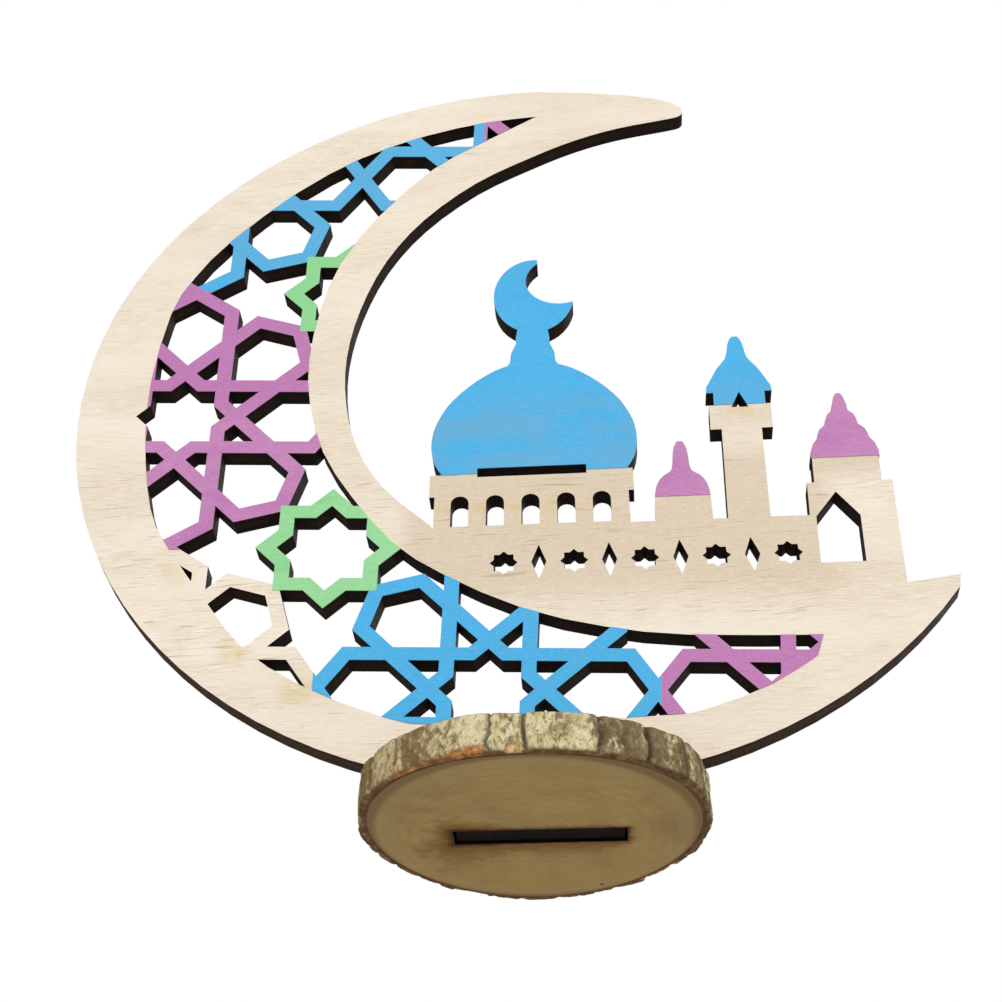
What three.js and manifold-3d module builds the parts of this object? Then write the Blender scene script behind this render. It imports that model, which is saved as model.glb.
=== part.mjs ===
// A crescent table ornament: a laser-cut plywood plate with a pierced star lattice and a mosque
// skyline, printed in flat colours, whose tab stands in the slot of a small slice of log.
// Millimetres. The plate lies in the XZ plane and faces -Y. Its drawing is set out from the
// centre of the crescent's outer circle; the finished group is moved so that the origin is the
// middle of the whole object's footprint, on the surface that it stands on.

import * as THREE from 'three';
import { mergeVertices } from 'three/addons/utils/BufferGeometryUtils.js';
import Module from 'manifold-3d';

const wasm = await Module();
wasm.setup();

// Plywood sheet: two face veneers on a core, and the film of printed colour
const faceVeneer = 0.8;
const coreVeneer = 1.2;
const inkFilm = 0.1;

// The core ply is built in sections that meet face to face, so that each one is a simple shape: the
// buildings above the terrace, and the crescent cut along lines from its centre at these angles. The
// first and the last line lie in the crescent's open mouth.
const crescentCuts = [15, 136, 170, 204, 250, 283, 375];
const crescentSections = ['upper_horn', 'upper_left', 'left', 'lower_left', 'foot', 'lower_horn'];
const buildingSections = ['dome', 'turret', 'minaret', 'gatehouse'];

// Crescent: outer circle and lower horn. Further points of its drawing are stations: an angle in
// degrees round the circle's centre, and an inset, how far inside the outer circle the point lies.
const crescentRadius = 72;
const lowerHornAngle = -36.4;
const upperArcEnd = 90;
const arcStep = 3.75;

// The lower horn is cut blunt: this far back along its upper side, and by this angle along the arc
const hornBlunt = { side: 1.17, angle: 2.05 };

// Rounded end of the upper horn, its angles counted back from the arc's end
const upperHorn = [
  { angle: 4, inset: 0.4 }, { angle: 8, inset: 0.55 }, { angle: 14.6, inset: 0.55 },
  { angle: 19.2, inset: 0.55 }, { angle: 22.5, inset: 1.45 }, { angle: 23.8, inset: 2.7 },
  { angle: 23.9, inset: 4.3 }, { angle: 22.3, inset: 6 },
];

// Bay inside the crescent, from the upper horn round to the terrace
const bay = [
  { angle: 74.9, inset: 10.75 }, { angle: 81.9, inset: 15.15 }, { angle: 90, inset: 20 },
  { angle: 102.4, inset: 25.5 }, { angle: 117.8, inset: 31.3 }, { angle: 134.3, inset: 36.2 },
  { angle: 153.9, inset: 40.15 }, { angle: 174.3, inset: 41.85 }, { angle: 193.4, inset: 41.9 },
  { angle: 210.7, inset: 40.7 }, { angle: 227, inset: 39.15 }, { angle: 244.1, inset: 37.2 },
];

// Terrace, by its height above the crescent's lowest point, and the dip between the gatehouse and the
// lower horn, measured from the horn's tip
const terraceHeight = 40;
const dipFromHorn = [-8.25, -1.17];

// Window of the crescent, filled by the lattice: its outer edge, then its inner edge
const outerRim = [
  { angle: 90, inset: 7.9 }, { angle: 98, inset: 8.3 }, { angle: 108, inset: 8.7 },
  { angle: 120, inset: 9.1 }, { angle: 133, inset: 9.8 }, { angle: 148, inset: 9.7 },
  { angle: 157.5, inset: 9.3 }, { angle: 166, inset: 9.5 }, { angle: 180, inset: 10.7 },
  { angle: 191, inset: 10.7 }, { angle: 201, inset: 9.9 }, { angle: 208, inset: 9.2 },
  { angle: 216, inset: 9.4 }, { angle: 224.5, inset: 8.8 }, { angle: 232, inset: 7.4 },
  { angle: 241, inset: 7.1 }, { angle: 252, inset: 6.9 }, { angle: 260, inset: 7.6 },
  { angle: 283, inset: 7.4 }, { angle: 289, inset: 6.3 }, { angle: 297, inset: 6 },
  { angle: 303.5, inset: 6.3 },
];
const windowHeel = { angle: 305.9, inset: 8.2 };
const innerEdge = [
  { angle: 291.4, inset: 17.2 }, { angle: 280.3, inset: 21.9 }, { angle: 267.5, inset: 26.05 },
  { angle: 252, inset: 30.05 }, { angle: 238.9, inset: 32.3 }, { angle: 223.3, inset: 34.95 },
  { angle: 207.4, inset: 35.95 }, { angle: 190.5, inset: 36.4 }, { angle: 175.2, inset: 35.8 },
  { angle: 157.7, inset: 33.85 }, { angle: 141.6, inset: 30.15 }, { angle: 125.5, inset: 25.55 },
  { angle: 109.8, inset: 18.85 }, { angle: 100.1, inset: 14.7 },
];
const windowTip = { angle: 89.5, inset: 8.1 };

// Star lattice: a square pattern of closed stars and open star crossings, drawn on a grid that
// opens out a little towards the top of the plate. Its pitch fits this often into the crescent's radius.
const latticeCentre = { angle: 229.48, inset: 26.48 };
const stepAcross = [0.936, -0.049];
const stepUp = [-0.012, 0.934];
const taperAcross = 0.00042;
const taperUp = -0.00183;
const repeatsInRadius = 1.4118;
const bandWidth = 2.3;
const starApothem = 6.8;
const crossingApothem = 6.15;
const elbow = 8;
const kneeSlope = 16;
const crossBend = 4.15;
const smallestOpening = 0.8;
const cutOver = 0.05;

// Printed areas of the lattice end this far past the lines through the crossings, and the tip's starts
// this far before the last crossing of the upper row
const printEdge = 0.45;
const tipBeforeCrossing = 5.5;

// Mosque skyline, from left to right. Its x are from its own axis, this far in from the lower horn's
// tip, and its heights are above the terrace. Profiles are [half width, height] above the building's
// own foot, right side only. Each building leans out by this much per millimetre that it stands right.
const skylineFromHorn = 57.95;
const fanPerMm = 0.0014;
const wallOverlap = 1;

const domeX = -0.25;
const domeFoot = 9.9;
const dome = [[13.6, 0], [14.75, 2.1], [15.25, 4.3], [15.35, 6.3], [15.1, 8.6], [14.5, 10.6],
  [13.2, 13.5], [11.2, 16.2], [8.7, 18.7], [6, 20.7], [4, 21.6]];
const domeCollar = [[3.55, 22.4], [3.4, 24.4], [2.65, 26.4], [2.7, 27.6], [2.4, 29.6]];
const drumHalf = 14.85;
const drumBaseHalf = 14.05;
const drumSplit = 5.8;
const drumX = -0.7;
const domeSlot = { x: -0.6, middle: 10.1, width: 16, height: 1.6 };
const arch = { count: 5, pitch: 5.12, x: -0.8, half: 1.3, sill: 0.3, top: 5.8 };

const moon = { x: 0, middle: 47.4, halfWidth: 6.55, halfHeight: 8.6 };
const bite = { x: 4.35, middle: 50.8, radius: 5.65 };
const moonTipX = 0.65;

const turret = { x: 20.85, half: 4.1, foot: 4.3 };
const turretCap = [[3.95, 0], [3.8, 1.3], [3.35, 2.7], [2.55, 3.8], [1.6, 4.5], [1.25, 5.6], [1.1, 7.7],
  [0.85, 9.2], [0.4, 10.2]];

const minaretX = 29.95;
const shaftHalf = 2.95;
const balconyHalf = 4.6;
const balconyFoot = 16.6;
const balconyTop = 21.4;
const capNeckHalf = 3.85;
const eave = 23.9;
const minaretCap = [[4.95, 0], [4.85, 1.2], [4.4, 2.1], [3.95, 3.1], [3.5, 4.1], [3, 5.1], [2.3, 6.1],
  [1.7, 7.1], [1.45, 8.1], [1.3, 9.1], [1.15, 10.1], [0.85, 11.1], [0.4, 11.8]];
const minaretHole = { half: 1.25, foot: 20.9, apex: 23.9 };

const gateX = 44.35;
const gateHalf = 6;
const gateTop = 5.8;
const gateBlockX = 44.15;
const gateBlockHalf = 4.75;
const gateBlockTop = 10.3;
const gateCap = [[4.9, 0], [4.85, 1.1], [4.45, 2.5], [3.8, 3.5], [3.65, 4.3], [3.3, 5.3], [2.4, 6.2],
  [2.3, 7.1], [1.9, 8.2], [1.15, 9], [1.05, 10.2], [0.7, 11.7], [0.3, 12.4]];
const gateArch = { x: 42.25, half: 3.05, sill: -8.2, spring: -0.3, apex: 4 };

// Pierced border on the terrace, a plain run of eight-point stars and lozenges
const border = {
  x: 15, middle: -6.3, count: 9, pitch: 4.9, star: 1.95, lozengeHalf: 1.05, lozengeTall: 2.9,
};

// Slice of log: wood, inner bark and bark, with the slot for the plate's tab. Waves are [count round
// the log, depth, phase]: the log's own are shared by its three layers, and the bark's are its relief.
const slice = { thickness: 4.9, woodRadius: 19, innerBark: 0.4, bark: 1, sides: 72 };
const logWaves = [[2, 0.95, 1.62], [3, 0.47, 3.06]];
const barkWaves = [[5, 0.1, -1.1], [9, 0.1, 0.3], [14, 0.08, 2.6], [20, 0.06, 1.1]];
const plateOnSlice = [0.63, 1.94];
const tabWidth = 20.4;
const shoulderWidth = 26;
const shoulderDrop = 1.07;
const tabClearance = 0.3;
const tabShort = 0.3;

// Cutting solids reach this far past what they cut, and a printed area's room beside its building
const cutMargin = 1;
const printRoom = 0.65;

// Colours of the wood, the bark and the printed areas
const veneerColour = '#ecdec7';
const coreColour = '#c9ad83';
const sliceColour = '#a98e62';
const barkRed = '#8a5a35';
const barkGrey = '#8c8465';
const blue = '#4db4eb';
const purple = '#c67dbe';
const green = '#94e196';

const backVeneerY = faceVeneer + coreVeneer;
const sheetThickness = backVeneerY + faceVeneer;
const slotWidth = sheetThickness + 2 * tabClearance;

// Sizes that follow from the ones above: the plate's flat shoulders, either side of the tab, stand
// on the slice just below the outer circle, and the tab stops short of the underside
const shoulderZ = -crescentRadius - shoulderDrop;
const shoulderTopZ = wallOverlap - Math.sqrt(crescentRadius ** 2 - (shoulderWidth / 2) ** 2);
const tabEndZ = shoulderZ - slice.thickness + tabShort;
const floorZ = terraceHeight - crescentRadius;
const pitch = crescentRadius / repeatsInRadius;

function onCircle(radius, degrees) {
  const angle = THREE.MathUtils.degToRad(degrees);
  return [radius * Math.cos(angle), radius * Math.sin(angle)];
}

function station({ angle, inset }) {
  return onCircle(crescentRadius - inset, angle);
}

// The lower horn's tip, as if it weren't blunt, the dip beside it and the skyline's axis
const hornTip = onCircle(crescentRadius, lowerHornAngle);
const hornDip = [hornTip[0] + dipFromHorn[0], hornTip[1] + dipFromHorn[1]];
const skylineX = hornTip[0] - skylineFromHorn;

function smooth(points, perSpan) {
  const curve = new THREE.SplineCurve(points.map(([x, z]) => new THREE.Vector2(x, z)));
  return curve.getPoints(perSpan * (points.length - 1)).map((point) => [point.x, point.y]);
}

function solidFrom(geometry) {
  geometry.deleteAttribute('normal');
  geometry.deleteAttribute('uv');
  const merged = mergeVertices(geometry);
  return new wasm.Manifold(new wasm.Mesh({
    numProp: 3,
    vertProperties: new Float32Array(merged.attributes.position.array),
    triVerts: new Uint32Array(merged.index.array),
  }));
}

function extruded(points, depth) {
  const shape = new THREE.Shape(points.map(([x, z]) => new THREE.Vector2(x, z)));
  return new THREE.ExtrudeGeometry(shape, { depth, bevelEnabled: false, steps: 1 });
}

// A prism of a drawing in the plate's plane, from the depth yFront to the depth yBack
function prism(points, yFront, yBack) {
  const geometry = extruded(points, yBack - yFront);
  geometry.rotateX(Math.PI / 2);
  geometry.translate(0, yBack, 0);
  return solidFrom(geometry);
}

// Drawings of the plate are cut right through the ink film and the sheet
function through(points) {
  return prism(points, -inkFilm, sheetThickness);
}

function cutter(points) {
  return prism(points, -inkFilm - cutMargin, sheetThickness + cutMargin);
}

function joined(solids) {
  return solids.reduce((whole, solid) => whole.add(solid));
}

function rectangle(x0, z0, x1, z1) {
  return [[x0, z0], [x1, z0], [x1, z1], [x0, z1]];
}

function starOutline(x, z, apothem, toPlane = (point) => point) {
  const outline = [];
  for (let corner = 0; corner < 16; corner += 1) {
    const radius = corner % 2 === 0 ? apothem * Math.SQRT2 : apothem / Math.cos(Math.PI / 8);
    const [dx, dz] = onCircle(radius, corner * 22.5);
    outline.push(toPlane([x + dx, z + dz]));
  }
  return outline;
}

// The outline of the crescent with its terrace, without buildings
function crescentOutline() {
  const outline = [];
  const arcStart = lowerHornAngle - hornBlunt.angle;
  const sweep = 360 + arcStart - upperArcEnd;
  const steps = Math.round(sweep / arcStep);
  for (let step = 0; step <= steps; step += 1) {
    outline.push(onCircle(crescentRadius, arcStart - (sweep * step) / steps));
  }
  const horn = upperHorn.map(({ angle, inset }) => station({ angle: upperArcEnd - angle, inset }));
  const bayAboveTerrace = bay.map(station).filter(([, z]) => z > floorZ);
  const inside = smooth([outline[outline.length - 1], ...horn, ...bayAboveTerrace], 3);
  outline.push(...inside.slice(1), [skylineX + drumX - drumBaseHalf, floorZ]);
  outline.push([skylineX + gateX, floorZ], [skylineX + gateX, hornDip[1]], hornDip);
  const back = hornBlunt.side / Math.hypot(...dipFromHorn);
  outline.push([hornTip[0] + back * dipFromHorn[0], hornTip[1] + back * dipFromHorn[1]]);
  return outline;
}

function windowOutline() {
  const round = smooth([windowTip, ...outerRim].map(station), 2);
  const back = smooth([windowHeel, ...innerEdge, windowTip].map(station), 2);
  return [...round, ...back.slice(0, -1)];
}

// The lattice is drawn square, then laid on the plate
function onPlate([x, z]) {
  const centre = station(latticeCentre);
  const spread = 1 + taperAcross * x + taperUp * z;
  return [
    centre[0] + (stepAcross[0] * x + stepUp[0] * z) / spread,
    centre[1] + (stepAcross[1] * x + stepUp[1] * z) / spread,
  ];
}

// Both sides of a band of even width along a line of points, with mitred corners
function bandSides(points, closed) {
  const count = points.length;
  const sides = [[], []];
  points.forEach((point, index) => {
    const before = points[closed ? (index + count - 1) % count : Math.max(index - 1, 0)];
    const after = points[closed ? (index + 1) % count : Math.min(index + 1, count - 1)];
    const here = new THREE.Vector2(...point);
    const into = here.clone().sub(new THREE.Vector2(...before)).normalize();
    const out = new THREE.Vector2(...after).sub(here).normalize();
    const first = index === 0 && !closed ? out : into;
    const last = index === count - 1 && !closed ? into : out;
    const normal = new THREE.Vector2(-first.y - last.y, first.x + last.x).normalize();
    const reach = bandWidth / 2 / normal.dot(new THREE.Vector2(-first.y, first.x));
    sides[0].push([here.x + normal.x * reach, here.y + normal.y * reach]);
    sides[1].push([here.x - normal.x * reach, here.y - normal.y * reach]);
  });
  return sides;
}

function openBand(points) {
  const [left, right] = bandSides(points, false);
  return through([...left, ...right.reverse()].map(onPlate));
}

function closedBand(points) {
  const [one, other] = bandSides(points, true).map((side) => side.map(onPlate));
  const size = (side) => Math.abs(THREE.ShapeUtils.area(side.map(([x, y]) => new THREE.Vector2(x, y))));
  const [outer, inner] = size(one) > size(other) ? [one, other] : [other, one];
  return through(outer).subtract(cutter(inner));
}

function closedStar(x, z) {
  const outer = through(starOutline(x, z, starApothem + bandWidth / 2, onPlate));
  return outer.subtract(cutter(starOutline(x, z, starApothem - bandWidth / 2, onPlate)));
}

function turned([x, z], quarterTurns) {
  let point = [x, z];
  for (let turn = 0; turn < quarterTurns; turn += 1) {
    point = [-point[1], point[0]];
  }
  return point;
}

// The two long hexagons of one open star crossing, round the given centre
function crossingHexagons([x, z]) {
  const half = pitch / 2;
  const slope = Math.tan(THREE.MathUtils.degToRad(kneeSlope));
  const diamond = crossingApothem * Math.SQRT2;
  const kneeZ = (elbow * (1 + slope) - diamond * slope) / (1 + slope);
  const knee = [kneeZ + diamond, kneeZ];
  const nearHalf = [[knee[1], knee[0]], [elbow, elbow], knee].map(([px, pz]) => [px - half, pz - half]);
  const hexagon = [...nearHalf, ...nearHalf.map(([px, pz]) => [-px, -pz])];
  return [0, 1].map((turns) => closedBand(hexagon.map((point) => {
    const [px, pz] = turned(point, turns);
    return [px + x, pz + z];
  })));
}

// A strap that runs up the whole lattice through one column of crossings. It passes each crossing on
// one side and bends over to the other side between them.
function strapPoints(column, firstSide) {
  const points = [];
  for (let row = firstRow; row <= lastRow; row += 1) {
    const side = (row - firstRow) % 2 === 0 ? firstSide : -firstSide;
    const x = (column + 0.5) * pitch + side * crossingApothem;
    points.push([x, row * pitch + crossBend], [x, (row + 1) * pitch - crossBend]);
  }
  return points;
}

function strapBands(column) {
  const bands = [];
  [-1, 1].forEach((firstSide) => {
    const upright = strapPoints(column, firstSide);
    bands.push(openBand(upright), openBand(upright.map(([x, z]) => [z, x])));
  });
  return bands;
}

function insideReach([x, z], reach) {
  return Math.hypot(x, z) < reach;
}

const firstRow = -2;
const lastRow = 2;
const starCentres = [];
const crossingCentres = [];
for (let column = firstRow; column <= lastRow; column += 1) {
  for (let row = firstRow; row <= lastRow; row += 1) {
    starCentres.push([column * pitch, row * pitch]);
    crossingCentres.push([(column + 0.5) * pitch, (row + 0.5) * pitch]);
  }
}
const usedStars = starCentres.filter(
  (centre) => insideReach(onPlate(centre), crescentRadius - starApothem),
);
const usedCrossings = crossingCentres.filter(
  (centre) => insideReach(onPlate(centre), crescentRadius + pitch / 3),
);

function latticeBands() {
  const bands = usedStars.map(([x, z]) => closedStar(x, z));
  usedCrossings.forEach((centre) => bands.push(...crossingHexagons(centre)));
  for (let column = firstRow; column <= lastRow; column += 1) {
    bands.push(...strapBands(column));
  }
  return joined(bands);
}

// Openings of the lattice: what the bands leave of the window, without slivers
function latticeOpenings(windowSolid, bands) {
  const least = smallestOpening * (sheetThickness + inkFilm);
  const openings = windowSolid.subtract(bands).decompose().filter((hole) => hole.volume() > least);
  return joined(openings);
}

// The star inside a crossing is cut whole, even where one of its points lies past the window
function crossingStarOpenings() {
  return usedCrossings
    .map(([x, z]) => cutter(starOutline(x, z, crossingApothem - bandWidth / 2 + cutOver, onPlate)))
    .filter((star) => star.intersect(windowSolid).volume() > 0.8 * star.intersect(slab).volume());
}

// A building's drawing, given from its own axis and foot, leaned out as it rises
function leaned(axisX, foot, points) {
  return points.map(([dx, dz]) => {
    const height = foot + dz;
    return [skylineX + axisX + dx + fanPerMm * Math.max(axisX, 0) * height, floorZ + height];
  });
}

// A rectangle of the skyline, by its heights above the terrace
function wall(x0, low, x1, high) {
  return rectangle(skylineX + x0, floorZ + low, skylineX + x1, floorZ + high);
}

function symmetric(profile) {
  return [...profile, ...profile.slice().reverse().map(([half, height]) => [-half, height])];
}

function domeSolid() {
  const shoulders = smooth(dome, 2);
  const body = leaned(domeX, domeFoot, symmetric([...shoulders, ...smooth(domeCollar, 2)]));
  const drum = wall(drumX - drumHalf, drumSplit, drumX + drumHalf, domeFoot);
  const drumBase = wall(drumX - drumBaseHalf, -wallOverlap, drumX + drumBaseHalf, drumSplit);
  return joined([through(body), through(drum), through(drumBase), moonSolid()]);
}

// The finial's crescent, an ellipse with a round bite
function moonSolid() {
  const whole = [];
  for (let step = 0; step < 48; step += 1) {
    const [dx, dz] = onCircle(1, step * 7.5);
    whole.push([skylineX + moon.x + moon.halfWidth * dx, floorZ + moon.middle + moon.halfHeight * dz]);
  }
  const gap = [];
  for (let step = 0; step < 40; step += 1) {
    const [dx, dz] = onCircle(bite.radius, step * 9);
    gap.push([skylineX + bite.x + dx, floorZ + bite.middle + dz]);
  }
  const moonRight = moon.x + moon.halfWidth + cutMargin;
  const corner = wall(moonTipX, bite.middle, moonRight, moon.middle + moon.halfHeight + cutMargin);
  return through(whole).subtract(cutter(gap)).subtract(cutter(corner));
}

function turretSolid() {
  const { x, half, foot } = turret;
  const body = [[half, -foot - wallOverlap], ...smooth(turretCap, 2)];
  return through(leaned(x, foot, symmetric(body)));
}

function minaretSolid() {
  const shaft = [[shaftHalf, -eave - wallOverlap], [shaftHalf, balconyFoot - eave]];
  const balcony = [[balconyHalf, balconyFoot - eave], [balconyHalf, balconyTop - eave]];
  const neck = [[capNeckHalf, balconyTop - eave], [capNeckHalf, 0]];
  return through(leaned(minaretX, eave, symmetric([...shaft, ...balcony, ...neck, ...minaretCap])));
}

function gatehouseSolid() {
  const house = [[gateHalf, hornDip[1] - floorZ - gateTop - wallOverlap], [gateHalf, 0]];
  const block = [[gateBlockHalf, -wallOverlap], [gateBlockHalf, gateBlockTop - gateTop]];
  return joined([
    through(leaned(gateX, gateTop, symmetric(house))),
    through(leaned(gateBlockX, gateTop, symmetric(block))),
    through(leaned(gateBlockX, gateBlockTop, symmetric(gateCap))),
  ]);
}

function roundArch(x, { sill, top, half }) {
  const outline = [[x + half, floorZ + sill]];
  for (let step = 0; step <= 8; step += 1) {
    const [dx, dz] = onCircle(half, step * 22.5);
    outline.push([x + dx, floorZ + top - half + dz]);
  }
  outline.push([x - half, floorZ + sill]);
  return outline;
}

function arcadeOpenings() {
  const openings = [];
  for (let index = 0; index < arch.count; index += 1) {
    const x = skylineX + arch.x + (index - (arch.count - 1) / 2) * arch.pitch;
    openings.push(cutter(roundArch(x, arch)));
  }
  return openings;
}

function gatehouseOpening() {
  const { x, half, sill, spring, apex } = gateArch;
  return cutter(leaned(x, sill, [
    [half, 0], [half, spring - sill], [0, apex - sill], [-half, spring - sill], [-half, 0],
  ]));
}

function minaretOpening() {
  const { half, foot, apex } = minaretHole;
  return cutter(leaned(minaretX, foot, [[half, 0], [0, apex - foot], [-half, 0]]));
}

function domeSlotOpening() {
  const { x, middle, width, height } = domeSlot;
  return cutter(wall(x - width / 2, middle - height / 2, x + width / 2, middle + height / 2));
}

function borderOpenings() {
  const z = floorZ + border.middle;
  const openings = [];
  for (let index = 0; index < border.count; index += 1) {
    const x = skylineX + border.x + (index - (border.count - 1) / 2) * border.pitch;
    if (index % 2 === 0) {
      openings.push(cutter(starOutline(x, z, border.star / Math.SQRT2)));
    } else {
      openings.push(cutter([
        [x + border.lozengeHalf, z], [x, z + border.lozengeTall],
        [x - border.lozengeHalf, z], [x, z - border.lozengeTall],
      ]));
    }
  }
  return openings;
}

// The tab, and the flat shoulders above it
function footSolid() {
  const tab = rectangle(-tabWidth / 2, tabEndZ, tabWidth / 2, shoulderTopZ);
  const shoulders = rectangle(-shoulderWidth / 2, shoulderZ, shoulderWidth / 2, shoulderTopZ);
  return through(tab).add(through(shoulders));
}

const reach = 2 * crescentRadius;
const slab = through(rectangle(-reach, -reach, reach, reach));
const windowSolid = through(windowOutline());
const bands = latticeBands();

// The whole plate, ink film and sheet together, before it is split into its layers
function plateSolid() {
  const blank = joined([
    through(crescentOutline()), domeSolid(), turretSolid(), minaretSolid(), gatehouseSolid(), footSolid(),
  ]);
  const openings = [
    latticeOpenings(windowSolid, bands), ...crossingStarOpenings(), domeSlotOpening(), gatehouseOpening(),
    minaretOpening(), ...arcadeOpenings(), ...borderOpenings(),
  ];
  return openings.reduce((plate, opening) => plate.subtract(opening), blank);
}

const plate = plateSolid();

function layer(solid, yFront, yBack) {
  return solid.intersect(prism(rectangle(-reach, -reach, reach, reach), yFront, yBack));
}

// Printed areas
const printed = layer(plate, -inkFilm, 0);

function latticePrint(outline) {
  return printed.intersect(windowSolid).intersect(cutter(outline.map(onPlate)));
}

// The edge, left of the upper closed star, where the blue of the lattice ends at a purple strap
function purpleEdge() {
  const along = new THREE.Vector2(-crossingApothem, crossBend).normalize();
  const offset = new THREE.Vector2(along.y, -along.x).multiplyScalar(bandWidth / 2);
  const start = new THREE.Vector2(-pitch / 2, pitch).add(offset);
  const rise = (printEdge - (start.y - pitch)) / along.y;
  const near = start.clone().addScaledVector(along, rise);
  const end = start.clone().addScaledVector(along, pitch / 2);
  return [near.toArray(), end.toArray()];
}

function withoutStars(solid) {
  return usedStars.reduce(
    (rest, [x, z]) => rest.subtract(cutter(starOutline(x, z, starApothem + bandWidth / 2, onPlate))),
    solid,
  );
}

function starPrint([x, z]) {
  const area = cutter(starOutline(x, z, starApothem + bandWidth / 2, onPlate));
  return printed.intersect(windowSolid).intersect(area);
}

// The printed cap of a building: what stands above the cap's foot, as wide and tall as its profile
function capPrint(axisX, foot, profile, tall) {
  const half = Math.max(...profile.map(([width]) => width)) + printRoom;
  const top = tall + printRoom;
  return printed.intersect(cutter(leaned(axisX, foot, [[half, 0], [half, top], [-half, top], [-half, 0]])));
}

function lastHeight(profile) {
  return profile[profile.length - 1][1];
}

const group = new THREE.Group();
const plateGroup = new THREE.Group();
const sliceGroup = new THREE.Group();

function addPiece(parent, name, solid, color, roughness) {
  const mesh = solid.getMesh();
  const geometry = new THREE.BufferGeometry();
  geometry.setAttribute('position', new THREE.BufferAttribute(new Float32Array(mesh.vertProperties), 3));
  geometry.setIndex(new THREE.BufferAttribute(new Uint32Array(mesh.triVerts), 1));
  const material = new THREE.MeshStandardMaterial({ color, roughness, metalness: 0 });
  const piece = new THREE.Mesh(geometry, material);
  piece.name = name;
  parent.add(piece);
}

function addPrint(name, solid, color) {
  const least = smallestOpening * inkFilm;
  const areas = solid.decompose().filter((area) => area.volume() > least);
  areas.sort((one, other) => other.volume() - one.volume());
  areas.forEach((area, index) => {
    addPiece(plateGroup, index === 0 ? name : `${name}_${index + 1}`, area, color, 0.55);
  });
}

addPiece(plateGroup, 'front_veneer', layer(plate, 0, faceVeneer), veneerColour, 0.7);
addPiece(plateGroup, 'back_veneer', layer(plate, backVeneerY, sheetThickness), veneerColour, 0.7);

// Core ply, in its sections
const core = layer(plate, faceVeneer, backVeneerY);
const mostlyAir = smallestOpening * coreVeneer;

function addCore(section, solid) {
  addPiece(plateGroup, `core_${section}`, solid, coreColour, 0.75);
}

// The part of the drawing above the terrace. Its left side keeps clear of the drum, and of the
// crescent beside the drum's foot.
function skylineArea() {
  const left = drumX - drumHalf - cutMargin;
  const top = moon.middle + moon.halfHeight + cutMargin;
  return cutter([
    [skylineX + drumX - drumBaseHalf, floorZ], [reach, floorZ], [reach, floorZ + top],
    [skylineX + left, floorZ + top], [skylineX + left, floorZ + drumSplit],
  ]);
}

// What lies between two angles round the crescent's centre
function wedge(from, to) {
  const outline = [[0, 0]];
  const steps = 4;
  for (let step = 0; step <= steps; step += 1) {
    outline.push(onCircle(reach, from + ((to - from) * step) / steps));
  }
  return cutter(outline);
}

const buildings = core.intersect(skylineArea()).decompose().filter((body) => body.volume() > mostlyAir);
buildings.sort((one, other) => one.boundingBox().min[0] - other.boundingBox().min[0]);
buildings.forEach((building, index) => addCore(buildingSections[index], building));
const crescent = core.subtract(skylineArea());
crescentSections.forEach((section, index) => {
  addCore(section, crescent.intersect(wedge(crescentCuts[index], crescentCuts[index + 1])));
});

const far = 2 * pitch;
const [edgeStart, edgeEnd] = purpleEdge();
const leftArea = [
  [-far, -printEdge], [0, -printEdge], [0, pitch + printEdge], edgeStart, edgeEnd, [-far, edgeEnd[1]],
];
const lowerArea = rectangle(-printEdge, -far, pitch + printEdge, 0);
const lowerEndArea = rectangle(pitch + printEdge, -far, far, 0);
const tipEdge = pitch / 2 - tipBeforeCrossing;
const tipArea = rectangle(tipEdge, pitch, far, far);
const upperArea = [[tipEdge, pitch + printEdge], [tipEdge, far], [-far, far], edgeEnd, edgeStart];
const domeTall = moon.middle + moon.halfHeight - domeFoot;
const minaretTall = eave - balconyTop + lastHeight(minaretCap);
addPrint('print_dome_blue', capPrint(domeX, domeFoot, dome, domeTall), blue);
addPrint('print_turret_purple', capPrint(turret.x, turret.foot, turretCap, lastHeight(turretCap)), purple);
addPrint('print_minaret_blue', capPrint(minaretX, balconyTop, minaretCap, minaretTall), blue);
const gateTall = lastHeight(gateCap);
addPrint('print_gatehouse_purple', capPrint(gateBlockX, gateBlockTop, gateCap, gateTall), purple);
addPrint('print_lattice_left_purple', withoutStars(latticePrint(leftArea)), purple);
addPrint('print_lattice_lower_blue', withoutStars(latticePrint(lowerArea)), blue);
addPrint('print_lattice_lower_purple', withoutStars(latticePrint(lowerEndArea)), purple);
addPrint('print_lattice_upper_blue', withoutStars(latticePrint(upperArea)), blue);
addPrint('print_lattice_tip_purple', withoutStars(latticePrint(tipArea)), purple);
usedStars.forEach((centre, index) => addPrint(`print_star_green_${index + 1}`, starPrint(centre), green));

// Slice of log
function roundOutline(radiusAt) {
  const outline = [];
  for (let side = 0; side < slice.sides; side += 1) {
    const angle = (side * 360) / slice.sides;
    outline.push(onCircle(radiusAt(angle), angle));
  }
  return outline;
}

function disc(radiusAt) {
  return solidFrom(extruded(roundOutline(radiusAt), slice.thickness));
}

// A layer's radius at each angle, by its waves
function waved(radius, waves) {
  return (degrees) => {
    const angle = THREE.MathUtils.degToRad(degrees);
    const depths = waves.map(([count, depth, phase]) => depth * Math.sin(count * angle + phase));
    return depths.reduce((sum, depth) => sum + depth, radius);
  };
}

function slotSolid() {
  const half = tabWidth / 2 + tabClearance;
  const outline = rectangle(
    plateOnSlice[0] - half, plateOnSlice[1] - slotWidth / 2,
    plateOnSlice[0] + half, plateOnSlice[1] + slotWidth / 2,
  );
  const geometry = extruded(outline, slice.thickness + 2 * cutMargin);
  geometry.translate(0, 0, -cutMargin);
  return solidFrom(geometry);
}

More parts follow.
